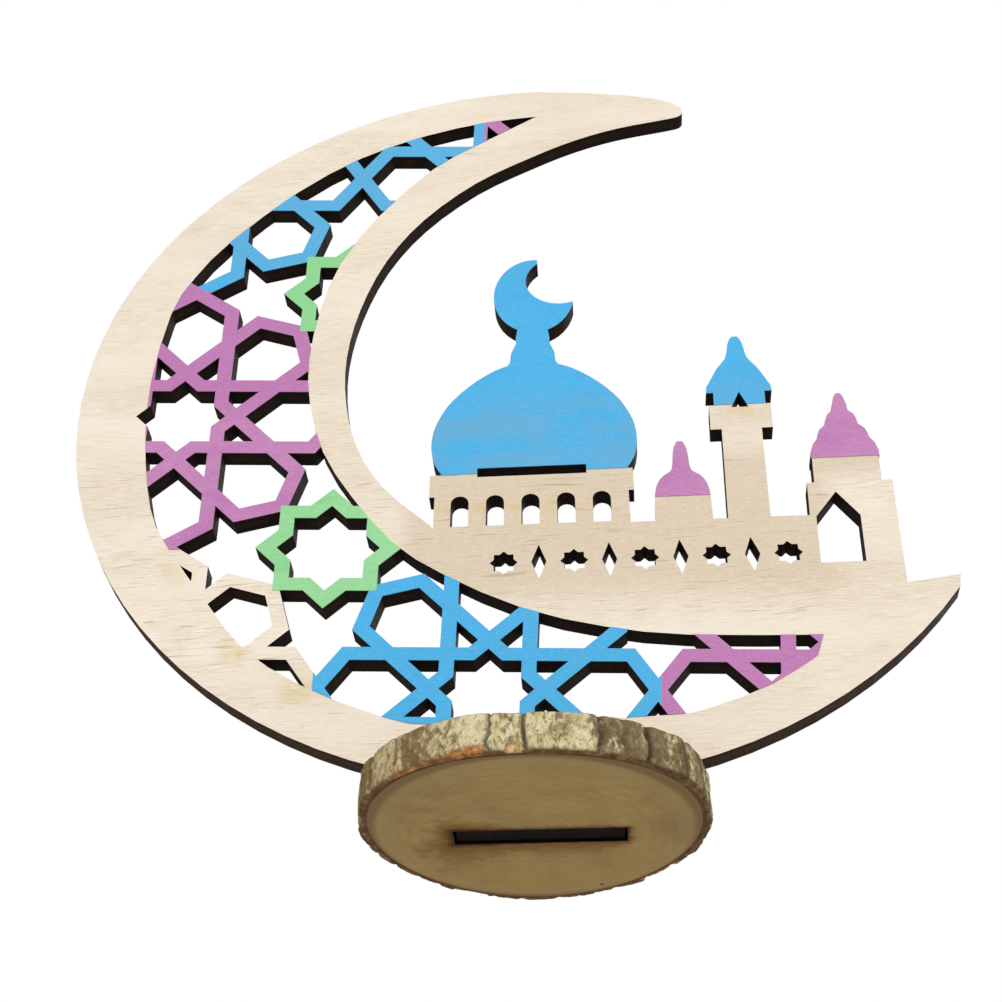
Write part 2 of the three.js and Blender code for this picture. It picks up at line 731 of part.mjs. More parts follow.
const innerBarkRadius = slice.woodRadius + slice.innerBark;
const wood = disc(waved(slice.woodRadius, logWaves));
const woodAndInnerBark = disc(waved(innerBarkRadius, logWaves));
const wholeSlice = disc(waved(innerBarkRadius + slice.bark, [...logWaves, ...barkWaves]));
addPiece(sliceGroup, 'slice_wood', wood.subtract(slotSolid()), sliceColour, 0.75);
addPiece(sliceGroup, 'slice_inner_bark', woodAndInnerBark.subtract(wood), barkRed, 0.85);
addPiece(sliceGroup, 'slice_bark', wholeSlice.subtract(woodAndInnerBark), barkGrey, 0.95);

// Stand the plate on the slice, then move the whole to the middle of its footprint
plateGroup.position.set(0, -sheetThickness / 2, slice.thickness - shoulderZ);
sliceGroup.position.set(-plateOnSlice[0], -plateOnSlice[1], 0);
group.add(plateGroup, sliceGroup);
group.updateMatrixWorld(true);
const box = new THREE.Box3().setFromObject(group, true);
const middle = box.getCenter(new THREE.Vector3());
group.position.set(-middle.x, -middle.y, 0);

export default group;
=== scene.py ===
import math
import random

import bpy
from mathutils import Matrix, Vector, noise

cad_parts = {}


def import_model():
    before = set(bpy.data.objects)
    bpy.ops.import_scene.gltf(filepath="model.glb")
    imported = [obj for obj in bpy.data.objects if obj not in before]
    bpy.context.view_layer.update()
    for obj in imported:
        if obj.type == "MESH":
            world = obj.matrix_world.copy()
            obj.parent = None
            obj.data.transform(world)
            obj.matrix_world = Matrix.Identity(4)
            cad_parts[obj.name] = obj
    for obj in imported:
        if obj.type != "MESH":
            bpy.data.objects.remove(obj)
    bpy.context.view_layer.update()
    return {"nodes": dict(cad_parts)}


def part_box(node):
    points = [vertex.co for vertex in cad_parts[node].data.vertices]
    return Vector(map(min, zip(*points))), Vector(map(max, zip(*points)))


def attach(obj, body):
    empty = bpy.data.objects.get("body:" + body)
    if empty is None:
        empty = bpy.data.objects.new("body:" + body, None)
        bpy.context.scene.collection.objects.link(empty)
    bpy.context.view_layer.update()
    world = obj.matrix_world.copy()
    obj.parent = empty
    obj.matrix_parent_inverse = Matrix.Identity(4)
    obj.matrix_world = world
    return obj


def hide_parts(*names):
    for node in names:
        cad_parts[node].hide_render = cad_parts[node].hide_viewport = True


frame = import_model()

nodes = frame["nodes"]
scene = bpy.context.scene
MM = 0.001

# The crescent's outer circle: its middle and radius, in mm
PLATE_X = 7.602
PLATE_Z = 77.97
PLATE_RADIUS = 72.0

# Slice of log, in mm: the log's centre, the slice's height, the slot for the tab and a small dark knot.
# The squash is the slice's depth over its width
SLICE_X = 6.972
SLICE_Y = -0.596
SLICE_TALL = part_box("slice_wood")[1].z / MM
SLICE_SQUASH = 0.91
SLOT = {"x": 7.602, "y": 1.344, "half_long": 10.5, "half_wide": 1.7}
KNOT = (SLICE_X + 7.7, SLICE_Y + 15.4, 0)

# Zones of the plate's face, in mm: each pair is where a fade starts and where it ends
SKYLINE_BOTTOM = (31.0, 37.0)
SKYLINE_TOP = (118.0, 112.0)
SKYLINE_LEFT = (-14.0, -9.0)
SKYLINE_RIGHT = (52.0, 46.0)
ABOVE_TERRACE = (55.0, 61.0)
GATEHOUSE_BOTTOM = (50.0, 56.0)
GATEHOUSE_LEFT = (40.0, 46.0)
LOWER_LEFT_X = (-20.0, -48.0)
LOWER_LEFT_Z = (62.0, 36.0)
LATTICE_TOP = (98.0, 106.0)

# Scorch tints on the veneer: place from the circle's centre, radius and strength. The last ones lie beside
# the terrace's arches, one for each
SCORCHES = [(-50.5, -38.5, 4.2, 0.4), (-41.0, -51.5, 3.4, 0.75), (-31.5, -57.6, 4.2, 0.6),
            (30.9, -11.8, 2.8, 0.7)]
ARCHES = 5
FIRST_ARCH = -11.4
ARCH_PITCH = 5.12
BESIDE_ARCH = 1.6
for arch in range(ARCHES):
    SCORCHES.append((FIRST_ARCH + arch * ARCH_PITCH - BESIDE_ARCH, -28.6, 2.3, 0.55))

# Single colours, in 0-255 sRGB
TONES = {
    "skyline_veneer": (212, 196, 174),
    "veneer_streak": (207, 186, 157),
    "veneer_sheen": (247, 238, 224),
    "veneer_pore": (182, 157, 130),
    "veneer_scorch": (206, 186, 118),
    "beam_ridge": (16, 11, 9),
    # painted shade down in the slot, put on the charred walls near the bottom
    "slot_painted_shade": (7, 6, 6),
    "saw_mark": (138, 110, 60),
    "growth_ring": (134, 103, 55),
    "pale_grit": (192, 167, 112),
    "warm_end_grain": (172, 136, 70),
    "pale_edge": (164, 143, 98),
    "brown_edge": (116, 86, 48),
    "smoke": (124, 82, 20),
    "burn": (50, 30, 12),
    "knot": (58, 42, 26),
    "inner_bark_strand": (72, 50, 32),
    "lichen_flake": (222, 214, 184),
    "lichen_shade": (122, 108, 66),
    "dark_speck": (94, 82, 52),
    "pale_speck": (206, 195, 158),
    # crack tone: partly the fissures' own darker bark, partly painted shade in them
    "bark_grain": (98, 86, 58),
    "crack_colour_and_shade": (62, 50, 36),
    "warm_bark": (142, 108, 58),
    "floor": (244, 244, 242),
}


def srgb(red, green, blue):
    """A colour given in 0-255 sRGB, as the linear colour that the nodes take."""
    def linear(value):
        value /= 255
        return value / 12.92 if value <= 0.04045 else ((value + 0.055) / 1.055) ** 2.4
    return (linear(red), linear(green), linear(blue), 1.0)


class Shader:
    """A material under construction. Its helpers take and return node sockets or plain numbers."""

    def __init__(self, name):
        self.material = bpy.data.materials.new(name)
        self.material.use_nodes = True
        self.tree = self.material.node_tree
        self.tree.nodes.clear()
        self.surface = self.add("ShaderNodeBsdfPrincipled")
        output = self.add("ShaderNodeOutputMaterial")
        self.tree.links.new(self.surface.outputs[0], output.inputs["Surface"])
        coordinates = self.add("ShaderNodeTexCoord")
        self.point = self.vector("SCALE", coordinates.outputs["Object"], scale=1 / MM)
        parts = self.add("ShaderNodeSeparateXYZ")
        self.tree.links.new(self.point, parts.inputs[0])
        self.x, self.y, self.z = parts.outputs

    def add(self, kind, **settings):
        node = self.tree.nodes.new(kind)
        for key, value in settings.items():
            setattr(node, key, value)
        return node

    def plug(self, socket, value):
        if isinstance(value, bpy.types.NodeSocket):
            self.tree.links.new(value, socket)
        elif value is not None:
            socket.default_value = value

    def math(self, operation, a, b=None):
        node = self.add("ShaderNodeMath", operation=operation)
        for socket, value in zip(node.inputs, (a, b)):
            self.plug(socket, value)
        return node.outputs[0]

    def times(self, first, *others):
        """The product of all the values."""
        for other in others:
            first = self.math("MULTIPLY", first, other)
        return first

    def vector(self, operation, a, b=None, scale=None):
        node = self.add("ShaderNodeVectorMath", operation=operation)
        self.plug(node.inputs[0], a)
        self.plug(node.inputs[1], b)
        if scale is not None:
            self.plug(node.inputs["Scale"], scale)
        return node.outputs["Value" if operation in ("LENGTH", "DISTANCE") else "Vector"]

    def fade(self, value, start, end, low=0.0, high=1.0):
        """low up to start, high from end on, and a smooth step between them."""
        node = self.add("ShaderNodeMapRange", interpolation_type="SMOOTHSTEP")
        for socket, given in zip(node.inputs, (value, start, end, low, high)):
            self.plug(socket, given)
        return node.outputs[0]

    def noise(self, stretch, detail=4.0, roughness=0.55, distortion=0.0, point=None, shift=(0, 0, 0)):
        """Noise whose features are 1/stretch millimetres large along each axis."""
        moved = self.vector("ADD", point or self.point, shift)
        node = self.add("ShaderNodeTexNoise")
        self.plug(node.inputs["Vector"], self.vector("MULTIPLY", moved, stretch))
        for key, value in (("Scale", 1.0), ("Detail", detail), ("Roughness", roughness),
                           ("Distortion", distortion)):
            node.inputs[key].default_value = value
        return node.outputs["Fac"]

    def ramp(self, value, *stops):
        node = self.add("ShaderNodeValToRGB")
        elements = node.color_ramp.elements
        while len(elements) < len(stops):
            elements.new(0.5)
        for element, (position, colour) in zip(elements, stops):
            element.position = position
            element.color = srgb(*colour)
        self.plug(node.inputs[0], value)
        return node.outputs[0]

    def mix(self, share, one, other):
        """One colour with a share of the other. A colour is a socket or 0-255 sRGB."""
        node = self.add("ShaderNodeMixRGB")
        self.plug(node.inputs[0], share)
        self.plug(node.inputs[1], srgb(*one) if isinstance(one, tuple) else one)
        self.plug(node.inputs[2], srgb(*other) if isinstance(other, tuple) else other)
        return node.outputs[0]

    def tint(self, colour, tone, share):
        """The colour with a share of one of the named tones."""
        return self.mix(share, colour, TONES[tone])

    def attribute(self, name):
        """A number that the mesh carries at each of its points."""
        return self.add("ShaderNodeAttribute", attribute_name=name).outputs["Fac"]

    def spot(self, x, z, radius, squash=1.0):
        """1 at a place on the plate's drawing, 0 at the radius round it; x and z from the circle's centre."""
        flat = self.vector("MULTIPLY", self.point, (1, 0, squash))
        place = (PLATE_X + x, 0, (PLATE_Z + z) * squash)
        return self.fade(self.vector("DISTANCE", flat, place), 0.0, radius, 1.0, 0.0)

    def finish(self, colour, roughness, height, depth, specular):
        """The finished material. Its bumps are depth millimetres high."""
        self.plug(self.surface.inputs["Base Color"], colour)
        self.plug(self.surface.inputs["Roughness"], roughness)
        self.surface.inputs["Specular IOR Level"].default_value = specular
        bump = self.add("ShaderNodeBump")
        bump.inputs["Strength"].default_value = 0.6
        bump.inputs["Distance"].default_value = depth * MM
        self.plug(bump.inputs["Height"], height)
        self.plug(self.surface.inputs["Normal"], bump.outputs[0])
        return self.material


def fibre_field(shader):
    """Fibres of sliced veneer, which run in slow waves and lean a little. Returns the point moved along with
    them, the broad fibres and the fine ones."""
    wave = shader.math("MULTIPLY", shader.noise((0.035, 0.4, 0.05), detail=2), 3.2)
    lean = shader.math("MULTIPLY", shader.x, -0.03)
    lift = shader.add("ShaderNodeCombineXYZ")
    shader.plug(lift.inputs[2], shader.math("ADD", wave, lean))
    flow = shader.vector("ADD", shader.point, lift.outputs[0])
    fibres = shader.noise((0.3, 1.0, 6.5), detail=5, roughness=0.66, distortion=0.3, point=flow)
    fine = shader.noise((1.1, 1.0, 13.0), detail=3, roughness=0.6, point=flow, shift=(40, 0, 0))
    return flow, fibres, fine


def skyline_zone(shader):
    """1 on the terrace and the gatehouse, less on what stands on the terrace, and 0 beyond them."""
    below_top = shader.fade(shader.z, *SKYLINE_TOP)
    skyline = shader.times(shader.fade(shader.z, *SKYLINE_BOTTOM), below_top,
                           shader.fade(shader.x, *SKYLINE_LEFT), shader.fade(shader.x, *SKYLINE_RIGHT),
                           shader.fade(shader.z, *ABOVE_TERRACE, 1.0, 0.3))
    gatehouse = shader.times(shader.fade(shader.z, *GATEHOUSE_BOTTOM), shader.fade(shader.x, *GATEHOUSE_LEFT),
                             below_top)
    return shader.math("MAXIMUM", skyline, gatehouse)


def veneer():
    """Bare pale face veneer: streaks, fibres, pores and faint scorches beside the cuts."""
    shader = Shader("veneer_face")
    flow, fibres, fine = fibre_field(shader)
    tone = shader.noise((0.02, 0.5, 0.05), detail=3, roughness=0.5, distortion=0.4)
    ground = shader.ramp(tone, (0.3, (227, 215, 196)), (0.52, (235, 225, 209)), (0.72, (240, 231, 216)))
    skyline = skyline_zone(shader)
    ground = shader.tint(ground, "skyline_veneer", shader.times(skyline, 0.9))

    banding = shader.noise((0.03, 0.5, 0.16), detail=3, distortion=0.3, point=flow, shift=(2, 4, 6))
    bands = shader.math("ADD", shader.fade(banding, 0.36, 0.66, 0.35, 0.85), shader.times(skyline, 0.25))
    colour = shader.tint(ground, "veneer_streak", shader.times(shader.fade(fibres, 0.34, 0.68), bands))
    colour = shader.tint(colour, "veneer_sheen", shader.fade(fine, 0.48, 0.75, 0.0, 0.6))

    lines = shader.noise((0.13, 1.0, 3.4), detail=3, roughness=0.5, distortion=0.6, point=flow,
                         shift=(0, 9, 70))
    gather = shader.fade(shader.noise((0.02, 0.5, 0.06), detail=2, shift=(15, 3, 31)), 0.47, 0.64, 0.12, 0.85)
    lower_left = shader.times(shader.fade(shader.x, *LOWER_LEFT_X), shader.fade(shader.z, *LOWER_LEFT_Z))
    strength = shader.math("MAXIMUM", gather, shader.times(lower_left, 0.95))
    strength = shader.math("MAXIMUM", strength, shader.times(skyline, 0.75))
    pores = shader.times(shader.fade(lines, 0.62, 0.72), strength)
    colour = shader.tint(colour, "veneer_pore", pores)

    scorched = 0.0
    for x, z, radius, share in SCORCHES:
        here = shader.times(shader.spot(x, z, radius, squash=1.3), share)
        scorched = shader.math("MAXIMUM", scorched, here)
    uneven = shader.fade(shader.noise((0.5, 0.5, 0.9), detail=3, shift=(3, 5, 7)), 0.3, 0.62, 0.35, 1.0)
    colour = shader.tint(colour, "veneer_scorch", shader.times(scorched, uneven))

    relief = shader.math("SUBTRACT", shader.math("ADD", fibres, shader.times(fine, 0.4)), pores)
    roughness = shader.fade(fibres, 0.3, 0.7, 0.62, 0.74)
    return shader.finish(colour, roughness, relief, depth=0.06, specular=0.22)


def ink(name, colour, bare, bare_share, low, high, faded=0.0):
    """Flat printed colour over the veneer. The fibres show through it, and it is worn towards the colour
    bare between the heights low and high. Faded is the share of bare in the top of the lattice."""
    shader = Shader(name)
    flow, fibres, fine = fibre_field(shader)
    darker = tuple(round(channel * 0.88) for channel in colour)
    lighter = tuple(round(channel + (255 - channel) * 0.26) for channel in colour)
    tone = shader.noise((0.05, 0.4, 0.09), detail=3)
    grit = shader.noise((2.4, 1.0, 3.2), detail=3, roughness=0.7, shift=(12, 4, 6))
    base = shader.mix(shader.fade(tone, 0.35, 0.65, 0.0, 0.2), colour, darker)
    base = shader.mix(shader.fade(fibres, 0.42, 0.7, 0.0, 0.45), base, darker)
    base = shader.mix(shader.fade(fine, 0.44, 0.72, 0.0, 0.5), base, lighter)
    base = shader.mix(shader.fade(grit, 0.54, 0.72, 0.0, 0.45), base, darker)
    base = shader.mix(shader.fade(grit, 0.46, 0.28, 0.0, 0.45), base, lighter)
    base = shader.mix(shader.fade(shader.z, *LATTICE_TOP, 0.0, faded), base, bare)

    zone = shader.times(shader.fade(shader.z, low - 4, low + 2), shader.fade(shader.z, high + 5, high - 3))
    zone = shader.math("ADD", shader.times(zone, 0.92), 0.08)
    patchy = shader.fade(shader.noise((0.09, 0.5, 0.25), detail=3, shift=(7, 1, 3)), 0.3, 0.56)
    streak = shader.noise((0.55, 1.0, 8.5), detail=4, roughness=0.68, distortion=0.3, point=flow,
                          shift=(5, 2, 11))
    streak = shader.math("ADD", shader.times(shader.fade(streak, 0.42, 0.62), 0.8), 0.2)
    base = shader.mix(shader.times(streak, patchy, zone, bare_share), base, bare)
    roughness = shader.fade(fine, 0.3, 0.7, 0.46, 0.6)
    return shader.finish(base, roughness, shader.math("ADD", fibres, fine), depth=0.035, specular=0.28)


def charred(name, dark, brown, brown_share):
    """A laser-cut wall: charred black-brown, with the beam's fine ridges across the sheet and ply lines.
    It is browner on the crescent's outer edge, and painted shade makes it near black down in the slot, within
    2.4 mm of the bottom."""
    shader = Shader(name)
    around = shader.noise((0.35, 0.1, 0.35), detail=4, roughness=0.6)
    ridges = shader.noise((3.0, 0.25, 3.0), detail=3, roughness=0.6, distortion=0.2, shift=(2, 0, 5))
    plies = shader.noise((0.15, 5.0, 0.15), detail=3, shift=(8, 3, 1))
    flat = shader.vector("MULTIPLY", shader.point, (1, 0, 1))
    from_middle = shader.vector("DISTANCE", flat, (PLATE_X, 0, PLATE_Z))
    outer = shader.fade(from_middle, PLATE_RADIUS - 1.4, PLATE_RADIUS - 0.6, 0.0, 0.55)
    share = shader.math("ADD", shader.fade(around, 0.3, 0.7, brown_share * 0.25, brown_share), outer)
    share = shader.times(share, shader.fade(plies, 0.32, 0.66, 0.45, 1.0))
    colour = shader.mix(share, dark, brown)
    colour = shader.tint(colour, "beam_ridge", shader.fade(ridges, 0.4, 0.72, 0.0, 0.4))
    # Painted shade: near black within 2.4 mm of the bottom, down in the slot
    colour = shader.tint(colour, "slot_painted_shade", shader.fade(shader.z, 2.4, 1.2, 0.0, 0.85))
    roughness = shader.fade(around, 0.3, 0.7, 0.7, 0.9)
    return shader.finish(colour, roughness, shader.math("ADD", ridges, plies), depth=0.05, specular=0.07)


def slot_scorch(shader, colour):
    """The end grain's colour, with the smoke and burn that the laser left round the slot."""
    from_slot = shader.vector("SUBTRACT", shader.point, (SLOT["x"], SLOT["y"], 0))
    beside = shader.vector("ABSOLUTE", shader.vector("MULTIPLY", from_slot, (1, 1, 0)))
    beside = shader.vector("SUBTRACT", beside, (SLOT["half_long"], SLOT["half_wide"], 0))
    gap = shader.vector("LENGTH", shader.vector("MAXIMUM", beside, (0, 0, 0)))
    along = shader.math("SUBTRACT", shader.x, SLOT["x"])
    across = shader.math("SUBTRACT", shader.y, SLOT["y"])
    left = shader.fade(along, -1.0, -12.0)
    far_side = shader.times(shader.fade(across, -0.6, 2.2), shader.fade(along, 12.0, 5.0))
    flicker = shader.noise((0.55, 0.9, 0.5), detail=3, shift=(1, 6, 2))

    wider = shader.math("ADD", shader.times(left, 2.4), shader.times(far_side, 2.4))
    spread = shader.times(shader.math("ADD", wider, 1.0), shader.fade(flicker, 0.2, 0.8, 0.6, 1.45))
    smoke = shader.fade(shader.math("DIVIDE", gap, spread), 0.0, 1.25, 0.95, 0.0)
    colour = shader.tint(colour, "smoke", smoke)
    singed = shader.math("ADD", shader.fade(flicker, 0.3, 0.7, 0.15, 0.7), shader.times(left, 0.8))
    return shader.tint(colour, "burn", shader.fade(gap, 0.0, singed, 0.9, 0.0))


def end_grain():
    """Sawn end grain of the slice: faint rings, slanting saw marks, a browner edge and the slot's scorch."""
    shader = Shader("slice_end_grain")
    pith = shader.vector("SUBTRACT", shader.point, (SLICE_X - 2.2, SLICE_Y + 3.1, 0))
    from_pith = shader.vector("LENGTH", shader.vector("MULTIPLY", pith, (SLICE_SQUASH, 1, 0)))
    wobble = shader.times(shader.noise((0.11, 0.11, 0.1), detail=3), 3.6)
    ring_pitch = 1.35
    rings = shader.math("SINE", shader.times(shader.math("ADD", from_pith, wobble), 2 * math.pi / ring_pitch))
    slant = shader.add("ShaderNodeVectorRotate", rotation_type="Z_AXIS")
    shader.plug(slant.inputs["Vector"], shader.point)
    slant.inputs["Angle"].default_value = math.radians(-17)
    saw = shader.noise((0.3, 5.2, 0.3), detail=5, roughness=0.66, distortion=0.2, point=slant.outputs[0])
    mottle = shader.noise((0.16, 0.16, 0.3), detail=4, roughness=0.6, distortion=0.3, shift=(3, 8, 2))
    grit = shader.noise((2.6, 2.6, 1.0), detail=3, roughness=0.6, shift=(9, 1, 4))

    colour = shader.ramp(mottle, (0.3, (152, 124, 72)), (0.5, (170, 142, 86)), (0.72, (180, 153, 98)))
    colour = shader.tint(colour, "saw_mark", shader.fade(saw, 0.38, 0.7, 0.0, 0.34))
    colour = shader.tint(colour, "growth_ring", shader.fade(rings, -0.2, 1.0, 0.0, 0.12))
    colour = shader.tint(colour, "pale_grit", shader.fade(grit, 0.5, 0.78, 0.0, 0.35))
    colour = shader.tint(colour, "warm_end_grain", shader.fade(shader.y, -2.0, 15.0, 0.0, 0.35))

    middle = shader.vector("SUBTRACT", shader.point, (SLICE_X, SLICE_Y + 0.45, 0))
    away = shader.vector("LENGTH", shader.vector("MULTIPLY", middle, (SLICE_SQUASH, 1, 0)))
    colour = shader.tint(colour, "pale_edge", shader.fade(away, 14.4, 17.0, 0.0, 0.4))
    colour = shader.tint(colour, "brown_edge", shader.fade(away, 17.0, 18.0, 0.0, 0.7))
    colour = slot_scorch(shader, colour)
    from_knot = shader.vector("DISTANCE", shader.point, KNOT)
    colour = shader.tint(colour, "knot", shader.fade(from_knot, 0.12, 0.4, 0.8, 0.0))
    relief = shader.math("ADD", saw, shader.times(grit, 0.5))
    return shader.finish(colour, shader.fade(mottle, 0.3, 0.7, 0.66, 0.8), relief, depth=0.09, specular=0.22)


def inner_bark():
    """Red-brown fibrous inner bark."""
    shader = Shader("inner_bark_fibre")
    patches = shader.noise((0.35, 0.35, 0.5), detail=4, roughness=0.6)
    strands = shader.noise((2.4, 2.4, 0.6), detail=3, roughness=0.6)
    colour = shader.ramp(patches, (0.32, (84, 58, 36)), (0.55, (112, 76, 46)), (0.7, (138, 94, 56)))
    colour = shader.tint(colour, "inner_bark_strand", shader.fade(strands, 0.4, 0.7, 0.0, 0.5))
    return shader.finish(colour, 0.85, strands, depth=0.1, specular=0.2)


def bark():
    """Grey-green bark with lichen. The mesh says where it is dull, cracked, stripped bare or sawn. Its dull
    patches are partly real dull bark and partly painted shade, stronger towards the sides that turn away from
    the front.
    """
    shader = Shader("bark_lichen")
    blotch = shader.noise((0.6, 0.6, 0.5), detail=4, roughness=0.62, distortion=0.5)
    lichen = shader.noise((1.6, 1.6, 0.9), detail=4, roughness=0.62, distortion=0.4, shift=(4, 2, 9))
    specks = shader.noise((2.2, 2.2, 1.7), detail=3, roughness=0.62, distortion=0.3, shift=(6, 3, 1))
    grain = shader.noise((5.0, 5.0, 4.0), detail=3, roughness=0.6, shift=(1, 1, 3))
    pale = shader.ramp(blotch, (0.32, (156, 141, 101)), (0.45, (203, 188, 143)), (0.58, (217, 204, 164)),
                       (0.7, (228, 219, 186)))
    # The dull tone is partly dull bark and partly painted shade towards the sides away from the front
    dull_and_shade = shader.ramp(blotch, (0.32, (90, 74, 52)), (0.5, (122, 104, 74)), (0.68, (154, 137, 104)))
    patch = shader.math("ADD", shader.attribute("dull_and_shade"), shader.fade(lichen, 0.3, 0.7, 0.35, -0.35))
    dulled_and_shaded = shader.fade(patch, 0.1, 0.7)
    colour = shader.mix(dulled_and_shaded, pale, dull_and_shade)
    flakes = shader.times(shader.fade(lichen, 0.57, 0.7, 0.0, 0.5), shader.fade(dulled_and_shaded, 0.0, 1.0, 1.0, 0.45))
    colour = shader.tint(colour, "lichen_flake", flakes)
    colour = shader.tint(colour, "lichen_shade", shader.fade(lichen, 0.5, 0.32, 0.0, 0.6))
    colour = shader.tint(colour, "dark_speck", shader.fade(specks, 0.47, 0.3, 0.0, 0.7))
    colour = shader.tint(colour, "pale_speck", shader.fade(specks, 0.6, 0.72, 0.0, 0.25))
    colour = shader.tint(colour, "bark_grain", shader.fade(grain, 0.52, 0.78, 0.0, 0.3))
    # Darker by crack depth: partly the darker bark in the fissures, partly painted shade in them
    colour = shader.tint(colour, "crack_colour_and_shade", shader.times(shader.attribute("crack"), 0.85))
    colour = shader.tint(colour, "warm_bark", shader.fade(shader.x, SLICE_X - 7.0, SLICE_X - 15.0, 0.0, 0.3))

    rough_cut = shader.noise((0.7, 0.7, 1.0), detail=3, roughness=0.6)
    sawn = shader.ramp(rough_cut, (0.34, (82, 62, 38)), (0.52, (112, 86, 54)), (0.7, (146, 118, 78)))
    colour = shader.mix(shader.attribute("rim"), colour, sawn)
    stripped = shader.noise((0.9, 0.9, 1.5), detail=3, roughness=0.6, distortion=0.6)
    ochre = shader.ramp(stripped, (0.34, (122, 84, 50)), (0.48, (168, 112, 60)), (0.56, (190, 134, 80)),
                        (0.68, (210, 176, 124)))
    tan = shader.ramp(specks, (0.4, (176, 134, 86)), (0.52, (204, 170, 120)), (0.62, (222, 196, 152)))
    tan_middle = SLICE_X - 1.26
    from_tan = shader.math("ABSOLUTE", shader.math("SUBTRACT", shader.x, tan_middle))
    stripped_tone = shader.mix(shader.fade(from_tan, 0.3, 1.7, 0.9, 0.0), ochre, tan)
    colour = shader.mix(shader.attribute("bare"), colour, stripped_tone)
    relief = shader.math("ADD", lichen, shader.times(grain, 0.7))
    return shader.finish(colour, shader.fade(lichen, 0.3, 0.7, 0.95, 0.8), relief, depth=0.2, specular=0.15)


VENEER = veneer()
WALL = charred("charred_wall", dark=(23, 17, 15), brown=(84, 62, 50), brown_share=0.22)
CORE_WALL = charred("charred_core", dark=(24, 18, 15), brown=(92, 68, 54), brown_share=0.3)
SLOT_WALL = charred("charred_slot", dark=(12, 9, 7), brown=(40, 28, 20), brown_share=0.3)
BLUE = ink("ink_blue", (57, 171, 227), bare=(130, 157, 168), bare_share=0.55, low=57.0, high=69.5, faded=0.17)
PURPLE = ink("ink_purple", (184, 113, 172), bare=(206, 156, 190), bare_share=0.4, low=40.0, high=70.0)
GREEN = ink("ink_green", (134, 208, 139), bare=(182, 222, 174), bare_share=0.4, low=30.0, high=60.0)
END_GRAIN = end_grain()
INNER_BARK = inner_bark()
BARK = bark()


def paint(node, face, walls, axis):
    """Gives a CAD node its finish: face where it looks along the axis, walls elsewhere."""
    mesh = nodes[node].data
    mesh.materials.clear()
    mesh.materials.append(face)
    mesh.materials.append(walls)
    facing = 0.7
    for polygon in mesh.polygons:
        polygon.material_index = 0 if abs(polygon.normal[axis]) > facing else 1


ALONG_Y = 1
ALONG_Z = 2
paint("front_veneer", VENEER, WALL, ALONG_Y)
paint("back_veneer", VENEER, WALL, ALONG_Y)
paint("slice_wood", END_GRAIN, SLOT_WALL, ALONG_Z)
paint("slice_inner_bark", INNER_BARK, INNER_BARK, ALONG_Z)
for name in nodes:
    if name.startswith("print_"):
        print_ink = BLUE if name.endswith("blue") else PURPLE if name.endswith("purple") else GREEN
        paint(name, print_ink, print_ink, ALONG_Y)
    if name.startswith("core_"):
        paint(name, CORE_WALL, CORE_WALL, ALONG_Y)


# The bark's mesh: steps round the slice, rows up its side and rows across each rim
BARK_STEPS = 640
BARK_ROWS = 32
RIM_ROWS = 5

# In mm: how far the sawn tone reaches up the side, how far the rims are from flat, and the gap to the
# CAD ring's outline and to the inner bark
RIM_TALL = 0.3
RIM_RELIEF = 0.05
SKIN = 0.02

# Cracks in the bark: angle round the slice in degrees, half width and depth in mm. Those listed are on the
# side that the camera sees, and those drawn at random are on the other
CRACKS = [(200, 0.4, 0.2), (208, 0.5, 0.3), (222, 0.3, 0.34), (237, 0.3, 0.16), (258, 0.24, 0.5),
          (269.5, 0.3, 0.75), (296, 0.4, 0.4), (304, 0.35, 0.26), (313, 0.42, 0.75), (328.5, 0.36, 0.42),
          (339, 0.35, 0.3)]
LAST_SEEN = 346.0
FIRST_SEEN = 360 + 195
chance = random.Random(11)
unseen = LAST_SEEN
while unseen < FIRST_SEEN:
    CRACKS.append((unseen % 360, chance.uniform(0.28, 0.6), chance.uniform(0.14, 0.5)))
    unseen += chance.uniform(7, 15)

# Stretches of the lower rim where the outer bark has come off: angle, half length in degrees and height in
# mm, and how far in they lie
BARE = [(227, 9, 0.2), (238.5, 8, 0.36), (250, 7, 0.8), (266.2, 3.1, 1.0), (40, 9, 0.7), (118, 7, 0.8)]
BARE_INSET = 0.34

# Dull olive brown patches between the pale ones, partly real dull bark and partly painted shade that grows
# towards the sides turning away from the front: angle, half length in degrees, strength
DULL_AND_SHADE = [(204, 8, 0.85), (230, 7, 0.8), (241, 4, 0.45), (264, 3, 0.3), (281, 4, 0.2), (298, 5, 0.75),
        (307, 6, 0.95), (316, 5, 0.9), (326, 6, 0.75), (337, 7, 0.8), (350, 8, 0.6), (20, 9, 0.6),
        (60, 10, 0.7), (98, 8, 0.5), (140, 11, 0.7), (178, 9, 0.6)]


def outline_of(node):
    """Angle and radius of a ring node's outer corners round the slice, in order."""
    inside_the_ring = 10
    corners = {}
    for vertex in nodes[node].data.vertices:
        x = vertex.co.x / MM - SLICE_X
        y = vertex.co.y / MM - SLICE_Y
        radius = math.hypot(x, y)
        if radius > inside_the_ring:
            turn = round(math.degrees(math.atan2(y, x)), 1) % 360
            corners[turn] = max(radius, corners.get(turn, 0.0))
    return sorted(corners.items())


def chord_radius(corners, degrees):
    """Radius of the polygon through the corners, at any angle."""
    for index, (end, far) in enumerate(corners):
        if end > degrees:
            break
    else:
        index = 0
        end, far = corners[0][0] + 360, corners[0][1]
    start, near = corners[index - 1]
    if start > end:
        start -= 360
    if degrees < start:
        degrees += 360
    whole = math.radians(end - start)
    first = math.radians(degrees - start)
    second = whole - first
    return near * far * math.sin(whole) / (near * math.sin(first) + far * math.sin(second))


def turn_from(degrees, other):
    """Signed angle from other to degrees, from -180 to 180."""
    return (degrees - other + 180) % 360 - 180


def smooth_step(value):
    value = min(max(value, 0.0), 1.0)
    return value * value * (3 - 2 * value)


